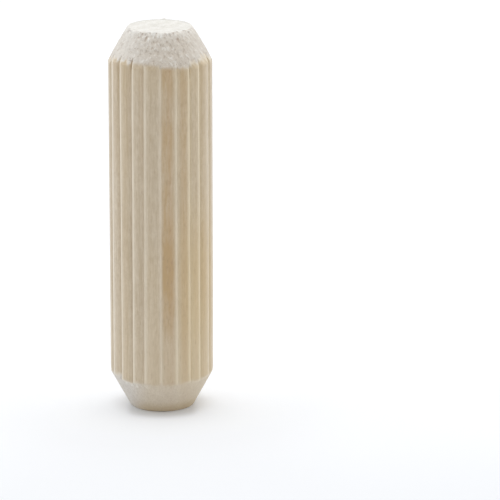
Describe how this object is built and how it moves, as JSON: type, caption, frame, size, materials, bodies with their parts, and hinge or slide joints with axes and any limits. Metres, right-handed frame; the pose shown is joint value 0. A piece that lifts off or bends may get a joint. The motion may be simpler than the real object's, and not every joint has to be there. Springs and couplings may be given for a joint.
{
  "type": "fluted wooden dowel pin",
  "caption": "Straight wooden dowel pin with lengthwise flutes for glue and tapered ends, pressed into drilled holes to join boards.",
  "frame": {"origin": "middle of the lower end's flat, on which the pin stands", "axes": "+Z along the pin's axis, from the lower end to the upper end"},
  "size_m": [0.008, 0.008, 0.03],
  "materials": {
    "wood": "dry unfinished pale hardwood"
  },
  "bodies": {
    "root": {"dowel_pin": "wood"}
  },
  "joints": []
}
